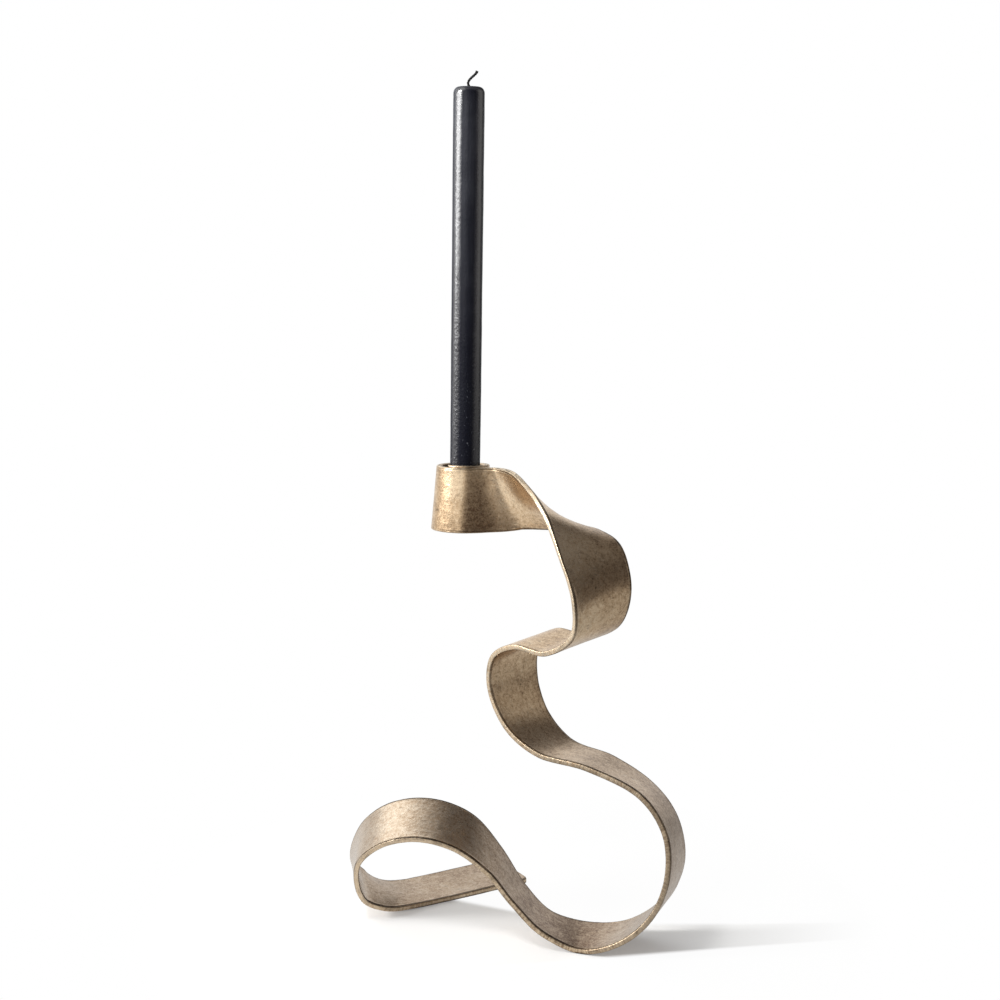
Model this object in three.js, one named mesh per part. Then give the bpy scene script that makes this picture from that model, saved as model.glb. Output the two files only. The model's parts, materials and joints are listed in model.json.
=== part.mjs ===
// A candlestick made from one long bronze ribbon. The ribbon starts as a coil that forms the candle cup,
// twists forward and down over a shoulder, swings through a waist and a hip to the table, loops to the
// left and ends in a flat tail. A brass socket inside the coil carries a straight black candle.
//
// Millimetres, +Z up. The front, which the candlestick is looked at from, is -Y.

import * as THREE from 'three';

// The bronze strip.
const ribbonWidth = 48.5;
const ribbonThickness = 4;
const ribbonEdgeRadius = 1;
const edgeSteps = 2;
const ringSpacing = 5.5;
const seamGap = 0.3;
const routeWidth = 234;

// The candle, its wick and the socket that it stands in.
const candleLength = 300;
const candleBaseDiameter = 22.6;
const candleTopDiameter = 23;
const candleShoulderRadius = 4.5;
const candleTopDip = 1;
const candleLean = 0.8;
const candleClearance = 0.4;
const wickDiameter = 2;
const wickClearance = 0.3;
const wickInset = 2;
const socketHeight = 20;
const socketWall = 0.9;
const floorThickness = 2;
const seatGap = 0.3;

// The cup that the upper end of the ribbon is coiled into, about the candle's axis.
const rimHeight = 338;
const candleDepthInCup = 23;
const coilStartAngle = -135;
const coilEndAngle = 270;
const coilStep = 15;
const coilFlare = 5.4;
const coilGap = 1;
const coilRise = 1;
const coilFrontLift = 1;
const coilSeatGap = 0.4;

const bronze = () => new THREE.MeshStandardMaterial({ color: 0xa48f70, roughness: 0.45, metalness: 0.9 });
const brass = () => new THREE.MeshStandardMaterial({ color: 0xb99a5b, roughness: 0.4, metalness: 0.9 });
const wax = () => new THREE.MeshStandardMaterial({ color: 0x23252b, roughness: 0.3, metalness: 0 });
const cotton = () => new THREE.MeshStandardMaterial({ color: 0x2a2826, roughness: 0.95, metalness: 0 });

const radians = THREE.MathUtils.degToRad;
const tableClearance = ribbonThickness / 2;
const socketInnerRadius = candleBaseDiameter / 2 + candleClearance;
const socketOuterRadius = socketInnerRadius + socketWall;
const socketTop = rimHeight - candleDepthInCup + socketHeight - seatGap;

// The way across the ribbon, from the edge that starts as the cup's rim to the other one.
// Bearing turns from straight back towards the right, and rise lifts the far edge.
function acrossFrom(bearing, rise) {
  const flat = Math.cos(radians(rise));
  return new THREE.Vector3(
    flat * Math.sin(radians(bearing)),
    flat * Math.cos(radians(bearing)),
    Math.sin(radians(rise)),
  );
}

// The coil widens as it unwinds, so that the outer turn clears the inner one, and it flares downwards.
// Its inner end bears on the socket and stands a little higher, and its rim is higher at the front.
function coilStations() {
  const growth = ribbonThickness + coilGap;
  const drop = (ribbonWidth / 2) * Math.cos(radians(coilFlare));
  const socketTopAboveMiddle = socketTop - (rimHeight - drop);
  const startRadius = socketOuterRadius + coilSeatGap + ribbonThickness / 2
    + socketTopAboveMiddle * Math.tan(radians(coilFlare));
  const stations = [];
  for (let angle = coilStartAngle; angle <= coilEndAngle; angle += coilStep) {
    const progress = (angle - coilStartAngle) / (coilEndAngle - coilStartAngle);
    const radius = startRadius + (growth * (angle - coilStartAngle)) / 360;
    const outward = new THREE.Vector3(Math.cos(radians(angle)), Math.sin(radians(angle)), 0);
    const lift = coilRise * (1 - progress) - coilFrontLift * outward.y;
    stations.push({
      at: outward.clone().multiplyScalar(radius).setZ(rimHeight - drop + lift),
      across: outward.clone().multiplyScalar(Math.tan(radians(coilFlare))).setZ(-1).normalize(),
    });
  }
  return stations;
}

// The middle of the ribbon after the coil: x to the right and y to the back of the candle's axis,
// z above the table, or 0 where the ribbon lies on it, then the bearing and rise of the way across.
// The places are drawn for a rim 338 mm high and a middle line that spreads 234 mm from side to side.
const heightScale = rimHeight / 338;
const widthScale = routeWidth / 234;
const lengths = [
  ['cup_coil', [
    [24, -22, 315.5, 90, -84],
    [39, -30, 316.5, 36, -69],
  ]],
  ['neck_twist', [
    [60, -52, 312.5, 40, -41],
    [78, -75, 305, 52, -14],
    [90, -97, 290, 66, 5],
  ]],
  ['shoulder_bend', [
    [97, -106, 264, 61, 5],
    [94, -100, 237, 48, 2],
    [74, -79, 220, 42, 5],
  ]],
  ['waist_curve', [
    [52, -58, 219, 45, 5],
    [38, -42, 206, 48, 4],
    [36, -37, 181, 48, 4],
    [46, -44, 154, 40, 3],
    [66, -59, 137, 34, -3],
  ]],
  ['hip_arc', [
    [100, -79, 131, 27, -7],
    [133, -96, 115, 19, -11],
    [149, -105, 91, 17, -8],
    [151, -110, 61, 20, -5],
    [139, -107, 31, 19, -4],
  ]],
  ['base_arc', [
    [115, -99.5, 9.6, 17, -2],
    [88, -89, 0, 14, 0],
    [60, -83.5, 10.8, 12, -7],
    [40, -77, 29.6, 11, -6.5],
    [22, -72, 54, 11, 1.5],
  ]],
  ['side_loop', [
    [0, -70, 75, 14, 11],
    [-28, -65, 83, 12, 17],
    [-57, -58, 77, 8, 20],
    [-77, -49, 59, 3, 21],
    [-83, -39, 34, -10, 20],
    [-80.2, -33.5, 20.8, -17, 18],
    [-70, -28, 12, -24, 14],
    [-54, -17, 4.5, -31, 4],
  ]],
  ['tail_foot', [
    [-36, -6, 0, -30, 0],
    [-18, 4, 0, -30, 0],
    [36.5, 36, 0, -30, 0],
  ]],
];

const stations = coilStations();
const spans = [];
for (const [name, places] of lengths) {
  const from = spans.length === 0 ? 0 : stations.length - 1;
  for (const [x, y, z, bearing, rise] of places) {
    const height = Math.max(z * heightScale, tableClearance);
    const at = new THREE.Vector3(x * widthScale, y * widthScale, height);
    stations.push({ at, across: acrossFrom(bearing, rise) });
  }
  spans.push({ name, from, to: stations.length - 1 });
}
const middleLine = new THREE.CatmullRomCurve3(stations.map((station) => station.at), false, 'centripetal');
const acrossLine = new THREE.CatmullRomCurve3(stations.map((station) => station.across), false, 'catmullrom', 0.5);
const lastStation = stations.length - 1;

// Places along the ribbon are counted in stations, with fractions between two of them. The ribbon lies flat
// where its middle touches down, and neither edge goes below the table.
function middleAt(place) {
  const point = middleLine.getPoint(THREE.MathUtils.clamp(place / lastStation, 0, 1));
  point.z = Math.max(point.z, tableClearance);
  return point;
}

function frameAt(place) {
  const reach = 0.02;
  const along = middleAt(place + reach).sub(middleAt(place - reach)).normalize();
  const across = acrossLine.getPoint(THREE.MathUtils.clamp(place / lastStation, 0, 1));
  const middle = middleAt(place);
  if (middle.z - tableClearance < 0.001) across.setZ(0);
  across.addScaledVector(along, -across.dot(along)).normalize();
  const face = along.clone().cross(across);
  const reachDown = (ribbonWidth * Math.abs(across.z) + ribbonThickness * Math.abs(face.z)) / 2;
  middle.z = Math.max(middle.z, reachDown);
  return { middle, across, face };
}

// The strip's section: a flat bar with eased edges.
function sectionOutline() {
  const outline = [];
  for (let corner = 0; corner < 4; corner += 1) {
    const sideU = corner === 0 || corner === 3 ? 1 : -1;
    const sideV = corner < 2 ? 1 : -1;
    for (let step = 0; step <= edgeSteps; step += 1) {
      const angle = (corner + step / edgeSteps) * (Math.PI / 2);
      outline.push(new THREE.Vector2(
        sideU * (ribbonWidth / 2 - ribbonEdgeRadius) + ribbonEdgeRadius * Math.cos(angle),
        sideV * (ribbonThickness / 2 - ribbonEdgeRadius) + ribbonEdgeRadius * Math.sin(angle),
      ));
    }
  }
  return outline;
}

function ringAt(place, outline) {
  const { middle, across, face } = frameAt(place);
  return outline.map(({ x, y }) => middle.clone().addScaledVector(across, x).addScaledVector(face, y));
}

// A closed skin over a row of rings, with a flat cap at each end.
function skinOver(rings) {
  const sides = rings[0].length;
  const positions = rings.flat().flatMap((point) => point.toArray());
  const triangles = [];
  for (let ring = 0; ring + 1 < rings.length; ring += 1) {
    for (let side = 0; side < sides; side += 1) {
      const here = ring * sides + side;
      const next = ring * sides + ((side + 1) % sides);
      triangles.push(here, next, next + sides, here, next + sides, here + sides);
    }
  }
  const last = (rings.length - 1) * sides;
  for (let side = 1; side + 1 < sides; side += 1) {
    triangles.push(0, side + 1, side, last, last + side, last + side + 1);
  }
  const geometry = new THREE.BufferGeometry();
  geometry.setAttribute('position', new THREE.Float32BufferAttribute(positions, 3));
  geometry.setIndex(triangles);
  geometry.computeVertexNormals();
  return geometry;
}

// One cast length of the ribbon. Where it is welded to a neighbour it stops half a seam short.
function ribbonLength({ name, from, to }) {
  const outline = sectionOutline();
  const pace = (place) => middleAt(place).distanceTo(middleAt(place + (place < to ? 0.01 : -0.01))) / 0.01;
  const start = from === 0 ? from : from + seamGap / 2 / pace(from);
  const end = to === lastStation ? to : to - seamGap / 2 / pace(to);
  const rings = [];
  for (let station = from; station < to; station += 1) {
    const steps = Math.ceil(stations[station].at.distanceTo(stations[station + 1].at) / ringSpacing);
    for (let step = 0; step < steps; step += 1) {
      rings.push(ringAt(Math.max(start, station + step / steps), outline));
    }
  }
  rings.push(ringAt(end, outline));
  const mesh = new THREE.Mesh(skinOver(rings), bronze());
  mesh.name = name;
  return mesh;
}

function turned(name, profile, material, segments) {
  const mesh = new THREE.Mesh(new THREE.LatheGeometry(profile, segments), material);
  mesh.name = name;
  mesh.rotation.x = Math.PI / 2;
  return mesh;
}

// A tube or disc with square corners: the outline is closed, or starts and ends on the axis.
function wallProfile(innerRadius, outerRadius, bottom, top) {
  const ring = [[innerRadius, bottom], [outerRadius, bottom], [outerRadius, top], [innerRadius, top]];
  const closed = innerRadius > 0 ? [...ring, ring[0]] : ring;
  return closed.map(([radius, height]) => new THREE.Vector2(radius, height));
}

// The candle is moulded straight, a little wider at the top, with a rounded shoulder and a wick hole.
function candleProfile() {
  const bore = wickDiameter / 2 + wickClearance;
  const topRadius = candleTopDiameter / 2;
  const profile = [[bore, 0], [candleBaseDiameter / 2, 0]];
  for (let step = 0; step <= 4; step += 1) {
    const angle = (step / 4) * (Math.PI / 2);
    profile.push([
      topRadius - candleShoulderRadius * (1 - Math.cos(angle)),
      candleLength - candleShoulderRadius * (1 - Math.sin(angle)),
    ]);
  }
  profile.push([bore, candleLength - candleTopDip], [bore, 0]);
  return profile.map(([radius, height]) => new THREE.Vector2(radius, height));
}

// The wick runs through the candle and leaves its top in a small curl to the right.
function wickMesh() {
  const curl = [[-0.8, 2.3], [-0.1, 4.3], [1.5, 6.2], [3.6, 8.1], [5.2, 9.8], [5.7, 11.1]];
  const path = new THREE.CatmullRomCurve3([
    new THREE.Vector3(0, 0, wickInset),
    new THREE.Vector3(0, 0, candleLength / 2),
    new THREE.Vector3(0, 0, candleLength - wickInset),
    new THREE.Vector3(0, 0, candleLength),
    ...curl.map(([right, up]) => new THREE.Vector3(right, 0, candleLength + up)),
  ], false, 'centripetal');
  const outline = [];
  for (let side = 0; side < 8; side += 1) {
    const angle = (side / 8) * 2 * Math.PI;
    outline.push(new THREE.Vector2(Math.cos(angle), Math.sin(angle)).multiplyScalar(wickDiameter / 2));
  }
  const rings = [];
  const count = 40;
  for (let step = 0; step <= count; step += 1) {
    const along = path.getTangent(step / count);
    const back = new THREE.Vector3(0, 1, 0);
    const side = back.clone().cross(along).normalize();
    const middle = path.getPoint(step / count);
    rings.push(outline.map(({ x, y }) => middle.clone().addScaledVector(side, x).addScaledVector(back, y)));
  }
  const mesh = new THREE.Mesh(skinOver(rings), cotton());
  mesh.name = 'wick';
  return mesh;
}

// The socket and the candle share one axis, which leans a little to the right.
function candleGroup() {
  const group = new THREE.Group();
  group.position.z = rimHeight - candleDepthInCup;
  group.rotation.y = radians(candleLean);
  const sleeve = wallProfile(socketInnerRadius, socketOuterRadius, -seatGap, socketHeight - seatGap);
  const floor = wallProfile(0, socketOuterRadius, -2 * seatGap - floorThickness, -2 * seatGap);
  group.add(
    turned('socket_sleeve', sleeve, brass(), 40),
    turned('socket_floor', floor, brass(), 40),
    turned('candle_wax', candleProfile(), wax(), 40),
    wickMesh(),
  );
  return group;
}

const candlestick = new THREE.Group();
candlestick.name = 'ribbon_candlestick';
candlestick.add(...spans.map(ribbonLength), candleGroup());

// The origin is on the table, under the middle of the whole object.
const box = new THREE.Box3().setFromObject(candlestick, true);
const middle = box.getCenter(new THREE.Vector3());
candlestick.children.forEach((child) => {
  child.position.x -= middle.x;
  child.position.y -= middle.y;
  child.position.z -= box.min.z;
});

export default candlestick;
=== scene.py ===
import json
import math

import bmesh
import bpy
from bpy.props import FloatProperty, FloatVectorProperty, PointerProperty
from bpy.types import NodeSocket, Operator, Panel, PropertyGroup
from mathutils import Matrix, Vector, noise


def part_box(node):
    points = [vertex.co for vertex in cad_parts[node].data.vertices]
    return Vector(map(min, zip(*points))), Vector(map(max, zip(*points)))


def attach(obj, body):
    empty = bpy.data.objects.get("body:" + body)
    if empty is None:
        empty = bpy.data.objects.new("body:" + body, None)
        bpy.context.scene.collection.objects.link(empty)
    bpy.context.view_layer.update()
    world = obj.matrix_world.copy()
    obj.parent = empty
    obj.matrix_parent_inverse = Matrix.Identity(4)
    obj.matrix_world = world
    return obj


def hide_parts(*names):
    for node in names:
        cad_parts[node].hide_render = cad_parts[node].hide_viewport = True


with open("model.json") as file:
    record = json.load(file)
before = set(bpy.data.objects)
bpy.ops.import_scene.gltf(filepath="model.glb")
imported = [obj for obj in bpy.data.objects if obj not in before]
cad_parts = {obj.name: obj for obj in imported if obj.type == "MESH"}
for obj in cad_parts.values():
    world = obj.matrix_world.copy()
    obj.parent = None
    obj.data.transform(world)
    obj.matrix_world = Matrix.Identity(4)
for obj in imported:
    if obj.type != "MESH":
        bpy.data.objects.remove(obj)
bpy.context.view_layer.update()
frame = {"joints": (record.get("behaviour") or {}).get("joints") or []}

bl_info = {
    "name": "Ribbon Candlestick",
    "version": (1, 0, 0),
    "blender": (4, 5, 0),
    "location": "View3D > Sidebar > Candlestick",
    "description": "Dresses the bronze ribbon candlestick, its socket, candle and wick, and sets the stage",
    "category": "Object",
}

MM = 0.001

RIBBON_NODES = (
    "cup_coil", "neck_twist", "shoulder_bend", "waist_curve",
    "hip_arc", "base_arc", "side_loop", "tail_foot",
)

# The candle slides out along its own axis, so the joint gives the lean that socket and candle share.
CANDLE_UP = Vector(frame["joints"][0]["axis"]).normalized()
CANDLE_BACK = Vector((0, 1, 0))
CANDLE_RIGHT = CANDLE_BACK.cross(CANDLE_UP)


def length(name, description, default):
    """A size in metres that shows in the scene's unit of length."""
    return FloatProperty(
        name=name, description=description, default=default, min=0.0, precision=5,
        subtype="DISTANCE", unit="LENGTH",
    )


def angle(name, description, default):
    """An angle that is written in degrees."""
    return FloatProperty(
        name=name, description=description, default=math.radians(default), subtype="ANGLE",
    )


def amount(name, description, default, most=1.0):
    """A plain number from nothing to its most."""
    return FloatProperty(name=name, description=description, default=default, min=0.0, max=most)


def power(name, description, default):
    """A lamp's power in watts."""
    return FloatProperty(name=name, description=description, default=default, min=0.0, unit="POWER")


def colour(name, description, default):
    """A colour, as linear red, green and blue."""
    return FloatVectorProperty(
        name=name, description=description, default=default, size=3, min=0.0, max=1.0, subtype="COLOR",
    )


class RibbonSettings(PropertyGroup):
    """Sizes and patina of the bronze ribbon."""

    width: length("Width", "Width of the bronze strip", 48.5 * MM)
    thickness: length("Thickness", "Thickness of the bronze strip", 4 * MM)
    edge_radius: length("Edge radius", "Rounding of the strip's four corners", 1 * MM)
    lip: length("Lip", "Height of the burr that filing left along each edge", 0.10 * MM)
    groove: length("Groove", "Depth of the groove between that burr and the edge", 0.22 * MM)
    waver: length("Waver", "How far hand forging leaves the strip from true", 0.28 * MM)
    tail_radius: length("Tail radius", "Rounding of the tail's two corners", 3.5 * MM)
    ring_spacing: length("Ring spacing", "Distance between two rings of the mesh", 1.8 * MM)
    rim_height: length("Rim height", "Height of the candle cup's rim above the table", 338 * MM)
    route_width: length("Route width", "Spread of the strip's middle line from side to side", 234 * MM)
    coil_start: angle("Coil start", "Where the coil's inner end is, about the candle", -135)
    coil_end: angle("Coil end", "Where the coil lets go of the cup, about the candle", 270)
    coil_flare: angle("Coil flare", "How far the cup widens downwards", 5.4)
    coil_gap: length("Coil gap", "Clear space between the coil's two turns", 1 * MM)
    coil_rise: length("Coil rise", "How much higher the coil's inner end stands", 1 * MM)
    coil_front_lift: length("Front lift", "How much higher the rim is at the front", 1 * MM)
    coil_seat_gap: length("Seat gap", "Clear space between the socket's top and the coil", 0.4 * MM)
    bright: colour("Bright bronze", "Handled bronze where the patina is rubbed thin", (0.80, 0.63, 0.435))
    middle: colour("Bronze", "Handled bronze under an even patina", (0.60, 0.435, 0.272))
    dark: colour("Dark patina", "Handled bronze under the darkest patina", (0.23, 0.143, 0.087))
    worn: colour("Worn edge", "Bare metal along the handled edges", (0.57, 0.485, 0.372))
    dull_bright: colour("Bright foot", "Thin patina near the table", (0.54, 0.442, 0.337))
    dull_middle: colour("Foot", "Even patina near the table", (0.402, 0.295, 0.199))
    dull_dark: colour("Dark foot", "Darkest patina near the table", (0.175, 0.104, 0.058))
    dull_worn: colour("Foot edge", "Edges near the table", (0.585, 0.470, 0.330))
    stain: colour("Stain", "Brown specks in the patina", (0.10, 0.058, 0.031))
    line: colour("Corner line", "Old patina in the groove beside each edge", (0.030, 0.019, 0.012))


class SocketSettings(PropertyGroup):
    """Sizes and colour of the brass socket in the cup."""

    inner_radius: length("Inner radius", "Radius of the socket's bore", 11.7 * MM)
    wall: length("Wall", "Thickness of the socket's wall", 0.9 * MM)
    height: length("Height", "Height of the socket's sleeve", 20 * MM)
    floor: length("Floor", "Thickness of the disc that the candle stands on", 2 * MM)
    seat_gap: length("Seat gap", "Clear space between two seated pieces", 0.3 * MM)
    ease: length("Ease", "Rounding of the turned edges", 0.3 * MM)
    brass: colour("Brass", "Turned brass of the socket", (0.62, 0.47, 0.24))
    tarnish: colour("Tarnish", "Brown tarnish on the brass", (0.20, 0.13, 0.06))


class CandleSettings(PropertyGroup):
    """Sizes and colour of the candle and its wick."""

    length: length("Length", "Length of the candle without its wick", 300 * MM)
    base_radius: length("Base radius", "Radius at the foot of the candle", 11.3 * MM)
    top_radius: length("Top radius", "Radius just below the shoulder", 11.5 * MM)
    foot_ease: length("Foot ease", "Rounding of the candle's foot", 0.8 * MM)
    shoulder: length("Shoulder", "Rounding of the candle's top", 4.5 * MM)
    dip: length("Dip", "Depth of the hollow about the wick", 1 * MM)
    waver: length("Waver", "How far the moulded wax is from a true cylinder", 0.2 * MM)
    wick_radius: length("Wick radius", "Radius of the plaited wick", 1 * MM)
    wick_gap: length("Wick gap", "Clear space between the wick and the wax", 0.3 * MM)
    wick_inset: length("Wick inset", "How far the wick stops short of the candle's foot", 2 * MM)
    wick_lay: length("Lay", "Length in which a strand goes once round the wick", 4.5 * MM)
    wax: colour("Wax", "Dyed wax", (0.0060, 0.0066, 0.0122))
    bloom: colour("Bloom", "Pale bloom and scuffs on the wax", (0.19, 0.20, 0.23))
    cotton: colour("Cotton", "Dyed cotton of the wick", (0.008, 0.0078, 0.0076))


class StageSettings(PropertyGroup):
    """Floor, light and camera."""

    floor: colour("Floor", "Colour of the table top", (0.70, 0.70, 0.695))
    table_front: length("Table front", "Distance of the table's front edge from the object's middle", 0.35)
    table_back: length("Table back", "Distance of the table's back edge from the object's middle", 1.2)
    table_side: length("Table side", "Distance of the table's sides from the object's middle", 0.9)
    floor_lift: amount("Floor lift", "Light that the table top adds in the picture", 0.21)
    shadow_reach: length("Shadow reach", "Distance at which the floor has turned plain white", 0.30)
    key_power: power("Key light", "Power of the softbox on the left", 32.0)
    window_power: power("Window light", "Power of the window on the left", 9.2)
    pane_power: power("Pane light", "Power of the low pane beside the window", 1.5)
    back_power: power("Back light", "Power of the large softbox behind on the left", 6.6)
    top_power: power("Top light", "Power of the softbox above", 8.0)
    back_tint: colour("Back tint", "Colour of the softbox behind on the left", (0.92, 0.97, 1.0))
    room: colour("Room", "Dim room in front and to the right", (0.103, 0.093, 0.092))
    wall: colour("Wall", "Pale wall on the left", (0.92, 0.90, 0.87))
    screen: colour("Screen", "Pale screen on the right", (0.36, 0.35, 0.34))
    ceiling: colour("Ceiling", "Ceiling of the room", (0.133, 0.130, 0.132))
    room_level: amount("Room level", "Brightness of the room about the object", 1.4, 10.0)
    lens: FloatProperty(
        name="Lens", description="Focal length on a sensor 36 mm wide, in millimetres", default=59.04,
        min=1.0, unit="CAMERA",
    )
    camera_height: length("Camera height", "Height of the camera above the table", 0.520)
    camera_distance: length("Camera distance", "Distance in front of the candle's axis", 1.219)
    camera_right: length("Camera right", "Distance to the right of the candle's axis", 0.0265)
    camera_tilt: angle("Camera tilt", "How far the camera looks down", 9.7)


class CandlestickSettings(PropertyGroup):
    """All settings of the candlestick."""

    ribbon: PointerProperty(type=RibbonSettings)
    socket: PointerProperty(type=SocketSettings)
    candle: PointerProperty(type=CandleSettings)
    stage: PointerProperty(type=StageSettings)


# Places that the frame gives.

def candle_foot():
    """The point on the candle's axis where the candle's foot is."""
    candle_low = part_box("candle_wax")[0]
    disc_low, disc_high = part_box("socket_floor")
    disc = (disc_low + disc_high) / 2
    up = (candle_low.z - disc.z) / CANDLE_UP.z
    return disc + CANDLE_UP * up


# Meshes.

def hermite(start, end, start_slope, end_slope, share):
    """A smooth step from start to end with the slope that is given at each."""
    square = share * share
    cube = square * share
    return (
        start * (2 * cube - 3 * square + 1)
        + start_slope * (cube - 2 * square + share)
        + end * (3 * square - 2 * cube)
        + end_slope * (cube - square)
    )


def four_around(points, place):
    """The two points on each side of a place, which counts points and fractions, and that fraction."""
    last = len(points) - 1
    index = min(int(place), last - 1)
    before = points[index - 1] if index > 0 else points[0] * 2 - points[1]
    after = points[index + 2] if index + 2 <= last else points[last] * 2 - points[last - 1]
    return before, points[index], points[index + 1], after, place - index


def along_points(points, place):
    """A centripetal curve through the points, which bends evenly where their spacing changes."""
    before, start, end, after, share = four_around(points, place)
    gap_in = math.sqrt((start - before).length)
    gap = math.sqrt((end - start).length)
    gap_out = math.sqrt((after - end).length)
    start_slope = (start - before) / gap_in - (end - before) / (gap_in + gap) + (end - start) / gap
    end_slope = (end - start) / gap - (after - start) / (gap + gap_out) + (after - end) / gap_out
    return hermite(start, end, start_slope * gap, end_slope * gap, share)


def between_directions(directions, place):
    """Directions turned evenly from one to the next."""
    before, start, end, after, share = four_around(directions, place)
    return hermite(start, end, (end - before) / 2, (after - start) / 2, share)


def quarter_turn(steps):
    """Angles from nothing to a right angle."""
    return [math.pi / 2 * step / steps for step in range(steps + 1)]


def skin(rings):
    """A closed mesh over a row of rings with as many points each."""
    mesh = bmesh.new()
    rows = [[mesh.verts.new(point) for point in ring] for ring in rings]
    sides = len(rings[0])
    for row, after in zip(rows, rows[1:]):
        for side in range(sides):
            turn = (side + 1) % sides
            mesh.faces.new((row[side], row[turn], after[turn], after[side]))
    mesh.faces.new(list(reversed(rows[0])))
    mesh.faces.new(rows[-1])
    return mesh


# A radius below this is a point on the axis.
ON_AXIS = 1e-7


def turned(profile, segments, foot, bend=None):
    """A turned body about the candle's axis. Profile holds (radius, height) from the foot, closed or from
    axis to axis. Bend gives each point's own change of radius from its turn and height."""
    mesh = bmesh.new()
    rings = []
    for radius, height in profile:
        centre = foot + CANDLE_UP * height
        if radius < ON_AXIS:
            rings.append([mesh.verts.new(centre)])
            continue
        ring = []
        for segment in range(segments):
            turn = 2 * math.pi * segment / segments
            reach = radius + (bend(turn, height) if bend else 0.0)
            out = CANDLE_RIGHT * math.cos(turn) + CANDLE_BACK * math.sin(turn)
            ring.append(mesh.verts.new(centre + out * reach))
        rings.append(ring)
    pairs = list(zip(rings, rings[1:]))
    if len(rings[0]) > 1 and len(rings[-1]) > 1:
        pairs.append((rings[-1], rings[0]))
    for low, high in pairs:
        for segment in range(segments):
            turn = (segment + 1) % segments
            corners = [
                low[segment % len(low)], low[turn % len(low)],
                high[turn % len(high)], high[segment % len(high)],
            ]
            mesh.faces.new(list(dict.fromkeys(corners)))
    return mesh


def eased_wall(inner, outer, bottom, top, ease, steps=4):
    """The closed outline of a tube with rounded corners, or of a disc if it has no inner radius."""
    corners = [(outer, bottom, -90), (outer, top, 0)]
    if inner > 0:
        corners += [(inner, top, 90), (inner, bottom, 180)]
    outline = [] if inner > 0 else [(0.0, bottom)]
    for radius, height, start in corners:
        in_by = ease if radius == inner else -ease
        up_by = ease if height == bottom else -ease
        for step in range(steps + 1):
            turn = math.radians(start + 90 * step / steps)
            outline.append((
                radius + in_by + ease * math.cos(turn),
                height + up_by + ease * math.sin(turn),
            ))
    if inner <= 0:
        outline.append((0.0, top))
    return outline


def finish_piece(name, mesh, body, nodes, material):
    """Makes an object of the mesh, smooth all over, that rides on a body in place of its CAD nodes."""
    bmesh.ops.recalc_face_normals(mesh, faces=mesh.faces)
    data = bpy.data.meshes.new(name)
    mesh.to_mesh(data)
    mesh.free()
    data.shade_smooth()
    data.materials.append(material)
    piece = bpy.data.objects.new(name, data)
    bpy.context.scene.collection.objects.link(piece)
    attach(piece, body)
    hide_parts(*nodes)


# The ribbon.

# The middle of the ribbon after the coil, in millimetres: x to the right and y to the back of the candle's
# axis, z above the table, or 0 where the ribbon lies on it. Then the way across the ribbon: its bearing,
# from straight back towards the right, and the rise of its far edge, in degrees.
# The places are drawn for a rim 338 mm high and a middle line that spreads 234 mm from side to side.
DRAWN_RIM = 338 * MM
DRAWN_SPREAD = 234 * MM
ROUTE = (
    (24, -22, 315.5, 90, -84),
    (39, -30, 316.5, 36, -69),
    (60, -52, 312.5, 40, -41),
    (78, -75, 305, 52, -14),
    (90, -97, 290, 66, 5),
    (97, -106, 264, 61, 5),
    (94, -100, 237, 48, 2),
    (74, -79, 220, 42, 5),
    (52, -58, 219, 45, 5),
    (38, -42, 206, 48, 4),
    (36, -37, 181, 48, 4),
    (46, -44, 154, 40, 3),
    (66, -59, 137, 34, -3),
    (100, -79, 131, 27, -7),
    (133, -96, 115, 19, -11),
    (149, -105, 91, 17, -8),
    (151, -110, 61, 20, -5),
    (139, -107, 31, 19, -4),
    (115, -99.5, 9.6, 17, -2),
    (88, -89, 0, 14, 0),
    (60, -83.5, 10.8, 12, -7),
    (40, -77, 29.6, 11, -6.5),
    (22, -72, 54, 11, 1.5),
    (0, -70, 75, 14, 11),
    (-28, -65, 83, 12, 17),
    (-57, -58, 77, 8, 20),
    (-77, -49, 59, 3, 21),
    (-83, -39, 34, -10, 20),
    (-80.2, -33.5, 20.8, -17, 18),
    (-70, -28, 12, -24, 14),
    (-54, -17, 4.5, -31, 4),
    (-36, -6, 0, -30, 0),
    (-18, 4, 0, -30, 0),
    (36.5, 36, 0, -30, 0),
)
COIL_STEP = math.radians(15)
# How far to each side, in stations, the ribbon's direction is taken from.
DIRECTION_REACH = 0.02
# The strip lies flat where its middle is closer to its lowest place than this.
TOUCHDOWN = 0.001 * MM
# Closer stops where the tail's corners are rounded, in stations before its end.
TAIL_STOPS = (0.022, 0.015, 0.009, 0.004, 0.0)


def coil_stations(ribbon, socket, foot):
    """Places and ways across for the coil that forms the cup, from its inner end to where it lets go."""
    growth = ribbon.thickness + ribbon.coil_gap
    drop = ribbon.width / 2 * math.cos(ribbon.coil_flare)
    flare = math.tan(ribbon.coil_flare)
    socket_top = foot.z + socket.height - socket.seat_gap
    start_radius = (
        socket.inner_radius + socket.wall + ribbon.coil_seat_gap + ribbon.thickness / 2
        + (socket_top - (ribbon.rim_height - drop)) * flare
    )
    span = ribbon.coil_end - ribbon.coil_start
    stations = []
    for step in range(round(span / COIL_STEP) + 1):
        turn = ribbon.coil_start + step * COIL_STEP
        progress = step * COIL_STEP / span
        radius = start_radius + growth * (turn - ribbon.coil_start) / (2 * math.pi)
        outward = Vector((math.cos(turn), math.sin(turn), 0))
        lift = ribbon.coil_rise * (1 - progress) - ribbon.coil_front_lift * outward.y
        place = outward * radius
        place.z = ribbon.rim_height - drop + lift
        across = outward * flare
        across.z = -1
        stations.append((place, across.normalized()))
    return stations


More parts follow.
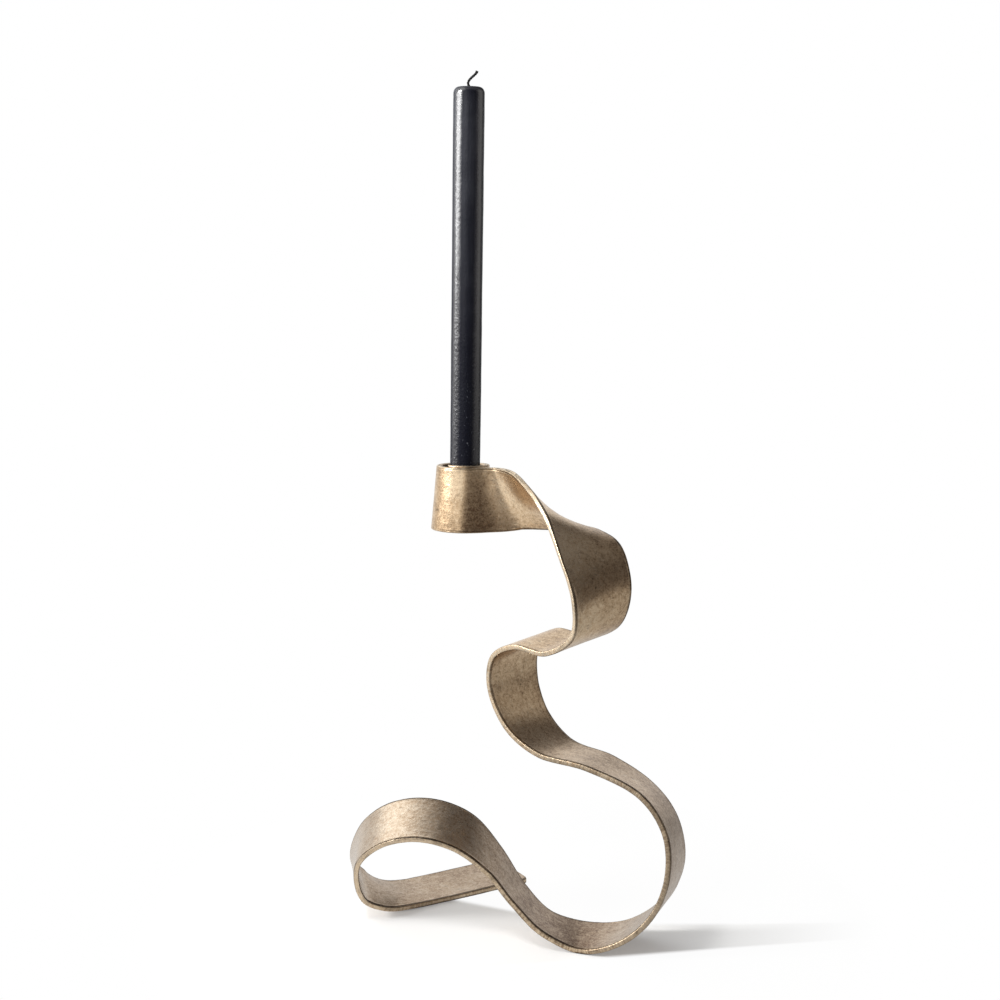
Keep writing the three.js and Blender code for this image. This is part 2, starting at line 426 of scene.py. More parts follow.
def route_stations(ribbon):
    """Places and ways across from the cup to the end of the tail."""
    wide = ribbon.route_width / DRAWN_SPREAD * MM
    high = ribbon.rim_height / DRAWN_RIM * MM
    stations = []
    for x, y, z, bearing, rise in ROUTE:
        place = Vector((x * wide, y * wide, max(z * high, ribbon.thickness / 2)))
        flat = math.cos(math.radians(rise))
        across = Vector((
            flat * math.sin(math.radians(bearing)),
            flat * math.cos(math.radians(bearing)),
            math.sin(math.radians(rise)),
        ))
        stations.append((place, across))
    return stations


# Where the rows of the strip's faces are, in millimetres in from the rounded corner.
FACE_INSETS = (0.15, 0.35, 0.55, 0.8, 1.1, 1.4, 1.8, 2.3, 3.0, 4.2, *range(6, 24, 2))
# Middle and spread of the groove, the lip and the old patina in the groove, as insets.
GROOVE_BAND = (0.35, 0.4)
LIP_BAND = (1.4, 0.5)
PATINA_BAND = (0.42, 0.52)
# How much of the edge's wear the top of the lip has.
LIP_WEAR = 0.45
# The rounded corner where it meets the face: its share of the groove's depth, and the wear that it lacks.
CORNER_GROOVE = 0.46
CORNER_SHELTER = 0.6
# The patina on that corner: how strong it is, and how fast it fades towards the narrow side.
CORNER_LINE = 1.45
CORNER_FADE = 1.7
CORNER_STEPS = 4


def swell(inset, band):
    """1 at the middle of a band, falling to nothing on both sides."""
    middle, spread = band
    return math.exp(-((inset - middle) / spread) ** 2)


def strip_outline(ribbon):
    """The strip's section as (across, through, relief, edge, line). Relief is the groove and the lip beside
    each narrow side where they are deepest. Edge is 1 on the narrow sides, and line is 1 in the groove."""
    half = ribbon.width / 2
    thin = ribbon.thickness / 2
    radius = ribbon.edge_radius
    near = []
    for inset in FACE_INSETS:
        lip = swell(inset, LIP_BAND)
        relief = ribbon.lip * lip - ribbon.groove * swell(inset, GROOVE_BAND)
        near.append((half - radius - inset * MM, relief, LIP_WEAR * lip, swell(inset, PATINA_BAND)))
    middle = [(0.0, 0.0, 0.0, 0.0)]
    far = [(-across, *forms) for across, *forms in reversed(near)]
    face = near + middle + far
    outline = []
    for side in (1, -1):
        for across, relief, edge, line in face:
            outline.append((side * across, side * thin, side * relief, edge, line))
        for corner in (1, -1):
            for step in range(CORNER_STEPS + 1):
                share = step / CORNER_STEPS
                turn = math.pi / 2 * (share if corner > 0 else 1 + share)
                by_face = 1 - share if corner > 0 else share
                sunk = ribbon.groove * CORNER_GROOVE * by_face ** 3
                across = -(half - radius) - radius * math.sin(turn)
                through = corner * (thin - radius) + radius * math.cos(turn)
                edge = 1 - CORNER_SHELTER * by_face
                line = min(1.0, CORNER_LINE * by_face ** CORNER_FADE)
                outline.append((side * across, side * through, -side * corner * sunk, edge, line))
            if corner > 0:
                outline.append((side * -half, 0.0, 0.0, 1.0, 0.0))
    return outline


class RibbonRoute:
    """The ribbon's middle line and the way that the strip faces along it."""

    def __init__(self, ribbon, socket):
        self.ribbon = ribbon
        foot = candle_foot()
        stations = coil_stations(ribbon, socket, foot) + route_stations(ribbon)
        self.places = [place for place, across in stations]
        self.ways = [across for place, across in stations]
        self.last = len(stations) - 1
        self.shift = Vector((foot.x, foot.y, 0))

    def middle(self, place):
        """The middle line, kept at half the strip's thickness or more above the table."""
        point = along_points(self.places, min(max(place, 0.0), self.last))
        point.z = max(point.z, self.ribbon.thickness / 2)
        return point

    def at(self, place):
        """The middle of the strip in the frame, and its ways along, across and through."""
        along = self.middle(place + DIRECTION_REACH) - self.middle(place - DIRECTION_REACH)
        along.normalize()
        across = between_directions(self.ways, min(max(place, 0.0), self.last))
        middle = self.middle(place)
        if middle.z - self.ribbon.thickness / 2 < TOUCHDOWN:
            across.z = 0
        across = (across - along * across.dot(along)).normalized()
        through = along.cross(across)
        down = (self.ribbon.width * abs(across.z) + self.ribbon.thickness * abs(through.z)) / 2
        middle.z = max(middle.z, down)
        return middle + self.shift, along, across, through

    def stops(self):
        """Places close enough together for a smooth skin."""
        found = []
        for station in range(self.last):
            gap = (self.places[station + 1] - self.places[station]).length
            steps = math.ceil(gap / self.ribbon.ring_spacing)
            found += [station + step / steps for step in range(steps)]
        return found + [self.last - stop for stop in TAIL_STOPS]


# Unevenness from forging: its share of the waver, how close together it comes, and where its pattern
# starts. At the edges it runs along the strip, with a lane for each side before the start.
FACE_FORGING = ((0.6, 34, (0, 0, 0)), (0.3, 85, (3, 1, 7)), (0.24, 170, (8, 4, 2)))
EDGE_FORGING = ((0.7, 28, 9.3, 0.5), (0.35, 95, 4.1, 2.5))


def forged(point, run, across, waver):
    """How far hand forging has moved a point: through the strip, and outwards at its edges."""
    through = waver * sum(
        share * noise.noise(point * close + Vector(start)) for share, close, start in FACE_FORGING
    )
    side = 1 if across > 0 else -1
    outward = waver * sum(
        share * noise.noise(Vector((run * close, side * lane, start)))
        for share, close, lane, start in EDGE_FORGING
    )
    return through, outward


# What changes along the ribbon, as (place in ROUTE, value). The cup's places are below 0.
# How deep and dark the groove beside the edge is.
DARK_LINE = (
    (-30, 0.12), (-3, 0.15), (1, 0.8), (5, 0.8), (8, 0.5), (10, 0.5), (13, 0.9), (28, 1.0), (31, 0.75),
    (34, 0.75),
)
# How much old patina the narrow sides keep.
EDGE_PATINA = ((-30, 0.0), (10.5, 0.0), (12.5, 0.46), (16.5, 0.46), (18.5, 0.0), (34, 0.0))
# Where the faces are lighter or darker than elsewhere: partly patina rubbed thin or kept, and partly
# painted highlights and painted shade that stand in for reflections.
WEAR_AND_PAINTED_LIGHT = (
    (-30, 0.0), (-5.6, 0.0), (-4.8, -0.4), (-3.8, -0.4), (-2.8, 0.9), (-1.25, 0.9), (-0.85, -0.6),
    (-0.45, -0.6), (0.2, 0.7), (1.6, 0.7), (2.4, 0.1), (3.4, 0.3), (5.6, 0.3), (6.4, 0.0), (14.8, 0.0),
    (15.8, 0.4), (17.3, 0.7), (18.1, 0.1), (18.7, -0.8), (20.6, -0.8), (21.5, 0.0), (22.6, 0.4),
    (24.0, 0.6), (25.2, 0.6), (26.2, 1.4), (27.4, 1.4), (28.6, 0.0), (34, 0.0),
)
# How much lighter the strip's higher or left side is painted than its other side: painted light and painted
# shade across the strip.
PAINTED_LIGHT_BY_SIDE = (
    (-30, 0.0), (-3.6, 0.0), (-2.7, 1.4), (-1.2, 1.4), (-0.8, 0.4), (0.4, 0.7), (1.6, 0.9), (2.4, 0.8),
    (2.9, 1.2), (3.6, 1.2), (4.4, 0.7), (6.0, 0.7), (7.0, 0.0), (34, 0.0),
)
# Where the strip lies on the table, its lower corners get painted contact shade, from this height down.
CONTACT_SHADE_TOP = 1.9 * MM
CONTACT_SHADE_FADE = 1.2 * MM
# Rounding of the ribbon's two cut ends.
END_EASE = 0.7 * MM
END_STEPS = 3


def by_place(table, place):
    """A table's value at a place along the ribbon."""
    for (start, value), (end, after) in zip(table, table[1:]):
        if place <= end:
            return value + (after - value) * (place - start) / (end - start)
    return table[-1][1]


def ribbon_mesh(ribbon, socket):
    """The whole ribbon as one skin, with what its material reads at each point: the place on the strip, how
    worn the edge is, how dark the patina line beside it is, with painted contact shade where the strip lies
    on the table, and how much the face is rubbed or painted lighter or darker in place of light."""
    route = RibbonRoute(ribbon, socket)
    cup_stations = route.last + 1 - len(ROUTE)
    outline = strip_outline(ribbon)
    half = ribbon.width / 2
    stops = route.stops()
    frames = [route.at(stop) for stop in stops]
    runs = [0.0]
    for here, after in zip(frames, frames[1:]):
        runs.append(runs[-1] + (after[0] - here[0]).length)
    last = len(frames) - 1
    plan = [(0, turn, -1) for turn in range(END_STEPS, 0, -1)]
    plan += [(index, 0, 0) for index in range(last + 1)]
    plan += [(last, turn, 1) for turn in range(1, END_STEPS + 1)]
    rings = []
    facts = []
    for index, turn, way in plan:
        middle, along, across, through = frames[index]
        run = runs[index]
        place = stops[index] - cup_stations
        dark = by_place(DARK_LINE, place)
        dull = by_place(EDGE_PATINA, place)
        # Wear and painted light along the ribbon, and painted light that differs from one side of the strip
        # to the other.
        rubbed = by_place(WEAR_AND_PAINTED_LIGHT, place)
        painted_light_side = by_place(PAINTED_LIGHT_BY_SIDE, place)
        past = max(ribbon.tail_radius - (runs[-1] - run), 0.0)
        narrow = ribbon.tail_radius - math.sqrt(ribbon.tail_radius ** 2 - past ** 2)
        bend = math.pi / 2 * turn / END_STEPS
        pull = END_EASE * (1 - math.cos(bend))
        push = END_EASE * math.sin(bend) - (END_EASE if way else 0.0)
        centre = middle + along * (way * push)
        ring = []
        for over, flat, relief, edge, line in outline:
            up = flat + dark * relief
            flat_point = centre + across * over + through * up
            sunk, spread = forged(flat_point, run, over, ribbon.waver)
            reach = (over + spread * over / half) * (1 - narrow / half)
            lift = up + sunk
            if pull:
                reach -= math.copysign(min(pull, abs(reach)), reach)
                lift -= math.copysign(min(pull, abs(lift)), lift)
            point = centre + across * reach + through * lift
            point.z = max(point.z, 0.0)
            ring.append(point)
            on_face = abs(over) < half - ribbon.edge_radius
            worn = max(dark * edge if on_face else edge, turn / END_STEPS)
            # Painted contact shade along the lower corners where the strip lies on the table, added to the
            # patina line.
            contact_shade = min(max((CONTACT_SHADE_TOP - point.z) / CONTACT_SHADE_FADE, 0.0), 1.0)
            line_and_contact_shade = max(dark * line, dull * edge, contact_shade)
            facts.append((Vector((run, over, up)), worn, line_and_contact_shade, rubbed - painted_light_side * over / half))
        rings.append(ring)
    mesh = skin(rings)
    layers = [mesh.verts.layers.float_vector.new("strip")]
    layers += [mesh.verts.layers.float.new(name) for name in ("edge", "line", "rubbed")]
    for vertex, values in zip(mesh.verts, facts):
        for layer, value in zip(layers, values):
            vertex[layer] = value
    return mesh


# Materials.

def node(tree, kind, inputs=None, **settings):
    """Adds a shader node. Inputs are numbers, colours or nodes' outputs, by socket name or number."""
    made = tree.nodes.new("ShaderNode" + kind)
    for name, value in settings.items():
        setattr(made, name, value)
    for socket, value in (inputs or {}).items():
        if isinstance(value, NodeSocket):
            tree.links.new(value, made.inputs[socket])
        else:
            made.inputs[socket].default_value = value
    return made


def speckle(tree, vector, scale, detail=4.0, roughness=0.55, distortion=0.0):
    """Noise from 0 to 1."""
    made = node(tree, "TexNoise", {
        "Vector": vector, "Scale": scale, "Detail": detail, "Roughness": roughness,
        "Distortion": distortion,
    })
    return made.outputs["Fac"]


def stretched(tree, vector, scale):
    """A place scaled along each axis by its own number."""
    made = node(tree, "Mapping", {"Vector": vector, "Scale": scale})
    return made.outputs["Vector"]


def ranged(tree, value, low, high, to_low=0.0, to_high=1.0, smooth=False):
    """A value taken from one range to another, and held at its ends."""
    made = node(tree, "MapRange", {
        "Value": value, "From Min": low, "From Max": high, "To Min": to_low, "To Max": to_high,
    }, interpolation_type="SMOOTHSTEP" if smooth else "LINEAR")
    return made.outputs["Result"]


def sums(tree, operation, first, second):
    """Two values put together by an operation of arithmetic."""
    made = node(tree, "Math", {0: first, 1: second}, operation=operation)
    return made.outputs[0]


def times(tree, first, second):
    """The product of two values."""
    return sums(tree, "MULTIPLY", first, second)


def larger(tree, first, second):
    """The larger of two values."""
    return sums(tree, "MAXIMUM", first, second)


def weighed(tree, *parts):
    """The sum of values times their weights."""
    total = None
    for value, weight in parts:
        part = times(tree, value, weight)
        total = part if total is None else sums(tree, "ADD", total, part)
    return total


def rgba(tint):
    """A colour with full cover."""
    return (*tint, 1.0)


def shade(tint, level):
    """A colour made lighter or darker."""
    return [level * part for part in tint]


def blended(tree, share, first, second):
    """Two colours mixed by a share that changes over the surface."""
    made = node(tree, "Mix", {0: share}, data_type="RGBA")
    for number, tint in ((6, first), (7, second)):
        if isinstance(tint, NodeSocket):
            tree.links.new(tint, made.inputs[number])
        else:
            made.inputs[number].default_value = rgba(tint)
    return made.outputs[2]


def toned(tree, value, stops):
    """A colour ramp from (place, colour) stops."""
    made = node(tree, "ValToRGB", {"Fac": value})
    ramp = made.color_ramp
    while len(ramp.elements) < len(stops):
        ramp.elements.new(0.5)
    for element, (place, tint) in zip(ramp.elements, stops):
        element.position = place
        element.color = rgba(tint)
    return made.outputs["Color"]


def raised(tree, height, strength, distance):
    """Fine relief from a height, where 1 stands for a distance in metres."""
    made = node(tree, "Bump", {"Height": height, "Strength": strength, "Distance": distance})
    return made.outputs["Normal"]


def new_material(name):
    """An empty material and its tree of nodes."""
    material = bpy.data.materials.new(name)
    material.use_nodes = True
    tree = material.node_tree
    tree.nodes.clear()
    return material, tree


def surface(tree, inputs):
    """The shader that the material shows."""
    shader = node(tree, "BsdfPrincipled", inputs)
    node(tree, "OutputMaterial", {"Surface": shader.outputs["BSDF"]})


def object_place(tree):
    """The place on the object, in metres."""
    return node(tree, "TexCoord").outputs["Object"]


def axes(tree, vector):
    """A vector's three parts: to the right, to the back and up."""
    return tuple(node(tree, "SeparateXYZ", {"Vector": vector}).outputs)


def written(tree, name, output="Fac"):
    """A value that the mesh carries."""
    return node(tree, "Attribute", attribute_name=name).outputs[output]


def aged_bronze(ribbon):
    """Cast bronze, rubbed back: mottled patina, faint marks along the strip, small pits, and bright edges
    with a dark line beside them. It is duller near the table than where it is handled. The mesh's rubbed
    values add painted highlights and painted shade to the tone, and its line values carry painted contact
    shade along the table as well as patina."""
    material, tree = new_material("aged_bronze")
    place = object_place(tree)
    height = axes(tree, place)[2]
    strip = written(tree, "strip", "Vector")
    drift = speckle(tree, place, 22, 2.0)
    patches = speckle(tree, place, 115, 3.0, 0.6, 0.6)
    mottle = speckle(tree, place, 320, 4.0, 0.65)
    grain = speckle(tree, place, 820, 3.0, 0.65)
    hammer = speckle(tree, place, 170, 2.0, 0.5, 0.8)
    drawn = speckle(tree, stretched(tree, strip, (34, 520, 520)), 1.0, 4.0, 0.65)
    # The tone takes in painted light from the mesh's rubbed values as well as patina.
    tone = weighed(
        tree, (drift, 0.14), (patches, 0.17), (mottle, 0.24), (grain, 0.34), (drawn, 0.11),
        (written(tree, "rubbed"), 0.08),
    )
    handled = ranged(tree, sums(tree, "ADD", height, times(tree, drift, 0.05)), 0.11, 0.20, smooth=True)
    foot_tones = ((0.40, ribbon.dull_dark), (0.50, ribbon.dull_middle), (0.60, ribbon.dull_bright))
    handled_tones = ((0.38, ribbon.dark), (0.50, ribbon.middle), (0.62, ribbon.bright))
    patina = blended(tree, handled, toned(tree, tone, foot_tones), toned(tree, tone, handled_tones))
    pit_cells = node(tree, "TexVoronoi", {"Vector": place, "Scale": 170.0}).outputs["Distance"]
    pit_size = ranged(tree, speckle(tree, place, 48, 2.0), 0.50, 0.72, 0.0, 0.24)
    pits = ranged(tree, sums(tree, "SUBTRACT", pit_cells, pit_size), -0.10, 0.0, 1.0, 0.0)
    filed = speckle(tree, stretched(tree, strip, (620, 200, 130)), 1.0, 3.0, 0.6, 0.3)
    edge = times(tree, written(tree, "edge"), ranged(tree, filed, 0.40, 0.58, 0.15, 1.0))
    gaps = speckle(tree, stretched(tree, strip, (120, 60, 60)), 1.0, 3.0)
    line = times(tree, written(tree, "line"), ranged(tree, gaps, 0.30, 0.52, 0.5, 1.0))
    grime = speckle(tree, stretched(tree, strip, (60, 40, 260)), 1.0, 4.0, 0.65)
    soot = ranged(tree, grime, 0.50, 0.66, 0.0, 0.5)
    line = larger(tree, line, times(tree, soot, written(tree, "edge")))
    stain = ranged(tree, speckle(tree, place, 250, 5.0, 0.7, 0.9), 0.50, 0.66, 0.0, 0.45)
    stain = times(tree, stain, ranged(tree, patches, 0.36, 0.60, 0.25, 1.0))
    patina = blended(tree, stain, patina, ribbon.stain)
    tint = blended(tree, edge, patina, blended(tree, handled, ribbon.dull_worn, ribbon.worn))
    tint = blended(tree, times(tree, pits, 0.45), tint, ribbon.line)
    # The line colour also paints contact shade where the strip lies on the table.
    tint = blended(tree, line, tint, ribbon.line)
    rough = ranged(tree, tone, 0.36, 0.66, 0.36, 0.25)
    relief = weighed(
        tree, (times(tree, filed, edge), 0.5), (hammer, 0.50), (mottle, 0.5), (grain, 0.17), (drawn, 0.08),
        (pits, -0.35),
    )
    surface(tree, {
        "Base Color": tint,
        "Metallic": 1.0,
        "Roughness": sums(tree, "ADD", rough, times(tree, edge, 0.24)),
        "Normal": raised(tree, relief, 0.45, 0.5 * MM),
    })
    return material


def turned_brass(socket):
    """Turned brass with fine tool rings and brown tarnish."""
    material, tree = new_material("turned_brass")
    place = object_place(tree)
    rings = speckle(tree, stretched(tree, place, (12, 12, 2600)), 1.0, 2.0)
    blotch = speckle(tree, place, 180, 5.0, 0.6)
    stain = ranged(tree, weighed(tree, (blotch, 0.8), (rings, 0.2)), 0.44, 0.66)
    surface(tree, {
        "Base Color": blended(tree, stain, socket.brass, socket.tarnish),
        "Metallic": 1.0,
        "Roughness": ranged(tree, blotch, 0.3, 0.7, 0.28, 0.46),
        "Normal": raised(tree, rings, 0.25, 0.1 * MM),
    })
    return material


def dyed_wax(candle, foot):
    """Near-black moulded wax with a soft gloss, bloom and long wipes further up, and a rougher foot with
    pale flecks."""
    material, tree = new_material("dyed_wax")
    place = object_place(tree)
    height = axes(tree, place)[2]

    def up_candle(low, high, to_low, to_high):
        return ranged(tree, height, foot.z + low, foot.z + high, to_low, to_high)

    cloud = speckle(tree, place, 60, 4.0)
    wipe = speckle(tree, stretched(tree, place, (420, 420, 26)), 1.0, 4.0, 0.6)
    fleck = speckle(tree, stretched(tree, place, (620, 620, 420)), 1.0, 2.0)
    crumb = times(tree, speckle(tree, place, 480, 3.0, 0.6), up_candle(0.02, 0.14, 1.0, 0.35))
    flecks = times(tree, ranged(tree, fleck, 0.66, 0.73), up_candle(0.02, 0.14, 1.0, 0.12))
    upper = times(tree, up_candle(0.10, 0.28, 0.035, 0.24), up_candle(0.288, 0.297, 1.0, 0.2))
    haze = times(tree, ranged(tree, weighed(tree, (cloud, 0.5), (wipe, 0.5)), 0.22, 0.75), upper)
    share = larger(tree, haze, times(tree, flecks, 0.7))
    grazing = node(tree, "LayerWeight", {"Blend": 0.5}).outputs["Facing"]
    gloss = times(
        tree, ranged(tree, grazing, 0.08, 0.19, 0.22, 1.60), ranged(tree, grazing, 0.40, 0.60, 1.0, 0.02),
    )
    relief = weighed(tree, (wipe, 0.5), (cloud, 0.6), (fleck, 0.3), (crumb, 7.0))
    surface(tree, {
        "Base Color": blended(tree, share, candle.wax, candle.bloom),
        "Roughness": ranged(tree, wipe, 0.3, 0.7, 0.12, 0.24),
        "Specular IOR Level": times(tree, gloss, up_candle(0.03, 0.15, 0.46, 1.0)),
        "Normal": raised(tree, relief, 0.30, 0.25 * MM),
    })
    return material


def dyed_cotton(candle):
    """Dark cotton strands with fibres along them."""
    material, tree = new_material("dyed_cotton")
    place = object_place(tree)
    fibre = speckle(tree, stretched(tree, place, (4200, 4200, 900)), 1.0, 3.0)
    surface(tree, {
        "Base Color": toned(tree, fibre, ((0.35, candle.cotton), (0.70, shade(candle.cotton, 3.2)))),
        "Roughness": 0.9,
        "Sheen Weight": 0.05,
        "Normal": raised(tree, fibre, 0.5, 0.1 * MM),
    })
    return material


# Candle, wick and socket.

SOCKET_SEGMENTS = 96
CANDLE_SEGMENTS = 112
CANDLE_ROWS = 150
FOOT_STEPS = 4
SHOULDER_STEPS = 12
DIP_STEPS = 8
# The candle's unevenness: its share of the waver, how close together it comes around and up the candle,
# and where its pattern starts.
WAX_WAVER = ((0.5, 0.8, 22, (0, 0)), (0.4, 2.5, 90, (5, 2)))


def candle_mesh(candle, foot):
    """A candle with an eased foot, a soft shoulder and a hole for the wick, a little out of true."""
    bore = candle.wick_radius + candle.wick_gap
    base = candle.base_radius
    top = candle.top_radius
    ease = candle.foot_ease
    shoulder = candle.shoulder
    outline = [(bore, 0.0)]
    for turn in quarter_turn(FOOT_STEPS):
        outline.append((base - ease * (1 - math.sin(turn)), ease * (1 - math.cos(turn))))
    straight = candle.length - shoulder
    for row in range(1, CANDLE_ROWS):
        share = row / CANDLE_ROWS
        outline.append((base + (top - base) * share, ease + (straight - ease) * share))
    for turn in quarter_turn(SHOULDER_STEPS):
        outline.append((
            top - shoulder * (1 - math.cos(turn)),
            candle.length - shoulder * (1 - math.sin(turn)),
        ))
    rim = outline[-1][0]
    for step in range(1, DIP_STEPS + 1):
        share = step / DIP_STEPS
        radius = rim + (bore - rim) * share
        outline.append((radius, candle.length - candle.dip * share * share * (3 - 2 * share)))
    outline.append((bore, candle.length / 2))

    def bend(turn, height):
        if height <= 0 or height > candle.length - candle.dip:
            return 0.0
        around = Vector((math.cos(turn), math.sin(turn), 0))
        return candle.waver * sum(
            share * noise.noise(around * close + Vector((*start, height * rise)))
            for share, close, rise, start in WAX_WAVER
        )

    return turned(outline, CANDLE_SEGMENTS, foot, bend)


# The wick's middle above the candle, in millimetres to the right and up.
WICK_CURL = ((-0.8, 2.3), (-0.1, 4.3), (1.5, 6.2), (3.6, 8.1), (5.2, 9.8), (5.7, 11.1))
# About how much longer the wick is than the candle.
WICK_EXTRA = 11 * MM
# A point of the wick this far below the candle's top keeps it straight in the wax.
WICK_GUIDE = 2 * MM
STRANDS = 3
STRAND_SHARE = 0.52
STRAND_STEP = 0.45 * MM
STRAND_CORNERS = 7
# How uneven a strand is, and how far the strands part over the last stretch of the wick.
STRAND_FUZZ = 0.12
FRAY = 0.35
FRAY_LENGTH = 3 * MM


def wick_middles(candle, foot):
    """Points along the wick, from near the candle's foot to a small curl above it."""
    heights = [candle.wick_inset, candle.length / 2, candle.length - WICK_GUIDE, candle.length]
    points = [foot + CANDLE_UP * height for height in heights]
    for right, up in WICK_CURL:
        points.append(foot + CANDLE_RIGHT * (right * MM) + CANDLE_UP * (candle.length + up * MM))
    stops = []
    for index, (start, end) in enumerate(zip(points, points[1:])):
        steps = max(4, math.ceil((end - start).length / STRAND_STEP))
        stops += [index + step / steps for step in range(steps)]
    stops.append(len(points) - 1)
    return [along_points(points, stop) for stop in stops]


def wick_strand(candle, middles, number):
    """One of the strands that are laid round each other."""
    strand = candle.wick_radius * STRAND_SHARE
    orbit = candle.wick_radius - strand
    rings = []
    run = 0.0
    for index, middle in enumerate(middles):
        after = middles[min(index + 1, len(middles) - 1)]
        before = middles[max(index - 1, 0)]
        along = (after - before).normalized()
        if index:
            run += (middle - before).length
        side = CANDLE_BACK.cross(along).normalized()
        turn = 2 * math.pi * (run / candle.wick_lay + number / STRANDS)
        left = (candle.length + WICK_EXTRA) - run
        spread = 1.0 + FRAY * max(0.0, 1 - left / FRAY_LENGTH)
        centre = middle + (side * math.cos(turn) + CANDLE_BACK * math.sin(turn)) * orbit * spread
        ring = []
        for corner in range(STRAND_CORNERS):
            around = 2 * math.pi * corner / STRAND_CORNERS
            fuzz = noise.noise(Vector((run * 900, number * 5.0, corner * 1.7)))
            reach = strand * (1 + STRAND_FUZZ * fuzz)
            ring.append(centre + (side * math.cos(around) + CANDLE_BACK * math.sin(around)) * reach)
        rings.append(ring)
    return skin(rings)


def wick_mesh(candle, foot):
    """The wick's strands in one mesh."""
    middles = wick_middles(candle, foot)
    whole = bmesh.new()
    for number in range(STRANDS):
        strand = wick_strand(candle, middles, number)
        data = bpy.data.meshes.new("wick_strand")
        strand.to_mesh(data)
        strand.free()
        whole.from_mesh(data)
        bpy.data.meshes.remove(data)
    return whole


class CANDLESTICK_OT_ribbon(Operator):
    """Make the bronze ribbon from its coiled cup to its tail"""

    bl_idname = "candlestick.ribbon"
    bl_label = "Bronze Ribbon"
    bl_options = {"REGISTER", "UNDO"}

    def execute(self, context):
        settings = context.scene.candlestick
        mesh = ribbon_mesh(settings.ribbon, settings.socket)
        finish_piece(
            "bronze_ribbon", mesh, "stand", RIBBON_NODES, aged_bronze(settings.ribbon),
        )
        return {"FINISHED"}


class CANDLESTICK_OT_socket(Operator):
    """Make the brass sleeve and floor that hold the candle"""

    bl_idname = "candlestick.socket"
    bl_label = "Brass Socket"
    bl_options = {"REGISTER", "UNDO"}

    def execute(self, context):
        socket = context.scene.candlestick.socket
        foot = candle_foot()
        brass = turned_brass(socket)
        outer = socket.inner_radius + socket.wall
        sleeve = eased_wall(
            socket.inner_radius, outer, -socket.seat_gap, socket.height - socket.seat_gap, socket.ease,
        )
        top = -2 * socket.seat_gap
        disc = eased_wall(0.0, outer, top - socket.floor, top, socket.ease)
        for name, outline, cad_node in (
            ("brass_sleeve", sleeve, "socket_sleeve"),
            ("brass_floor", disc, "socket_floor"),
        ):
            mesh = turned(outline, SOCKET_SEGMENTS, foot)
            finish_piece(name, mesh, "stand", (cad_node,), brass)
        return {"FINISHED"}


class CANDLESTICK_OT_candle(Operator):
    """Make the black candle"""

    bl_idname = "candlestick.candle"
    bl_label = "Candle"
    bl_options = {"REGISTER", "UNDO"}

    def execute(self, context):
        candle = context.scene.candlestick.candle
        foot = candle_foot()
        finish_piece(
            "black_candle", candle_mesh(candle, foot), "candle", ("candle_wax",),
            dyed_wax(candle, foot),
        )
        return {"FINISHED"}


class CANDLESTICK_OT_wick(Operator):
    """Make the wick of three cotton strands"""

    bl_idname = "candlestick.wick"
    bl_label = "Wick"
    bl_options = {"REGISTER", "UNDO"}

    def execute(self, context):
        candle = context.scene.candlestick.candle
        finish_piece(
            "cotton_wick", wick_mesh(candle, candle_foot()), "candle", ("wick",),
            dyed_cotton(candle),
        )
        return {"FINISHED"}


# The stage.

# The floor turns white with distance between these shares of the shadow's reach.
WHITE_FROM = 0.37
WHITE_ALL = 0.95
# How white it is behind the object and in front of it.
WHITE_NEAR = 0.95


def floor_material(stage):
    """A pale table top that keeps the object's shadow, and turns plain white further out, behind the object
    and in front of it."""
    material, tree = new_material("table_top")
    place = object_place(tree)
    away = node(tree, "VectorMath", {0: place}, operation="LENGTH").outputs["Value"]
    right, back = axes(tree, place)[:2]
    path = node(tree, "LightPath").outputs
    shown = larger(tree, path["Is Camera Ray"], path["Is Glossy Ray"])
    shown = larger(tree, shown, path["Is Transmission Ray"])
    matt = node(tree, "BsdfDiffuse", {"Color": rgba(stage.floor)}).outputs["BSDF"]
    lift = node(tree, "Emission", {"Strength": times(tree, shown, stage.floor_lift)})
    near = node(tree, "AddShader", {0: matt, 1: lift.outputs["Emission"]}).outputs["Shader"]
    # Painted falloff of light: the plain white floor further out, as metal reflects it, is brighter on the
    # left and dimmer on the right.
    painted_light_falloff = ranged(tree, right, -0.4, 0.4, 1.1, 0.5)
    strength = ranged(tree, path["Is Camera Ray"], 0.0, 1.0, painted_light_falloff, 1.0)
    white = node(tree, "Emission", {"Strength": strength}).outputs["Emission"]
    far = node(tree, "MixShader", {0: shown, 1: matt, 2: white}).outputs["Shader"]
    spread = ranged(
        tree, away, WHITE_FROM * stage.shadow_reach, WHITE_ALL * stage.shadow_reach, smooth=True,
    )
    behind = sums(tree, "ADD", back, ranged(tree, right, -0.055, 0.05, -0.028, 0.022))
    behind = ranged(tree, behind, -0.007, 0.002, 0.0, WHITE_NEAR, smooth=True)
    before = weighed(tree, (back, -1.0), (right, 0.18))
    before = ranged(tree, before, 0.088, 0.095, 0.0, WHITE_NEAR, smooth=True)
    share = larger(tree, larger(tree, spread, behind), before)
    whole = node(tree, "MixShader", {0: share, 1: near, 2: far}).outputs["Shader"]
    node(tree, "OutputMaterial", {"Surface": whole})
    return material


# The way from the object to the middle of the pale wall on the left.
WALL_WAY = (-0.996, -0.087, 0.0)
# The way to the middle of the white backdrop, behind and a little to the left.
BACK_WAY = (-0.35, 0.90, 0.25)
# The way to a smaller pale screen on the right.
SCREEN_WAY = (0.957, 0.134, 0.259)


def towards(tree, way, aim):
    """How far a way points where another one does: 1 if it does, and -1 if it points the other way."""
    made = node(tree, "VectorMath", {0: way, 1: aim}, operation="DOT_PRODUCT")
    return made.outputs["Value"]


